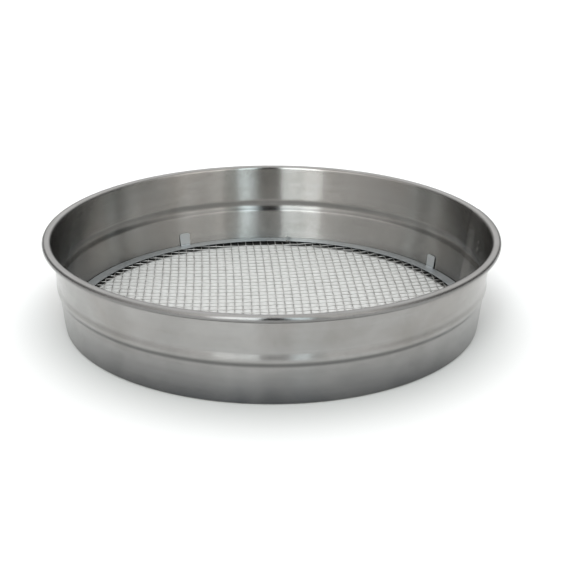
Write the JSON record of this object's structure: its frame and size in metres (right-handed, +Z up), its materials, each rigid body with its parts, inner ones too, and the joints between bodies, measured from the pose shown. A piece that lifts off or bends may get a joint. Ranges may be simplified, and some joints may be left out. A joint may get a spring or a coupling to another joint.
{
  "type": "soil sieve",
  "caption": "Round beaded sheet-steel sieve hoop with a rolled rim and a lift-out disc of square woven wire cloth clamped between two flat rings with finger tabs.",
  "frame": {"origin": "centre of the circle that the hoop stands on, on the floor", "axes": "+Z up along the sieve's axis, out of its open top; +Y away from the side that faces a person who looks at the front; the hoop's lapped joint is near +X"},
  "size_m": [0.3, 0.3, 0.06],
  "materials": {
    "stainless_sheet": "mill-finish stainless sheet, satin with soft mirror reflections",
    "galvanised_sheet": "dull blue-grey zinc coated sheet",
    "wire": "drawn bright wire"
  },
  "bodies": {
    "frame": {"hoop": "stainless_sheet"},
    "mesh_disc": {"lower_clamp_ring": "galvanised_sheet", "upper_clamp_ring": "galvanised_sheet", "warp_wires": "wire", "weft_wires": "wire"}
  },
  "joints": [
    {"name": "disc_lift", "type": "slide", "parent": "frame", "child": "mesh_disc", "axis": [0, 0, 1], "range_m": [0, 0.08]}
  ]
}
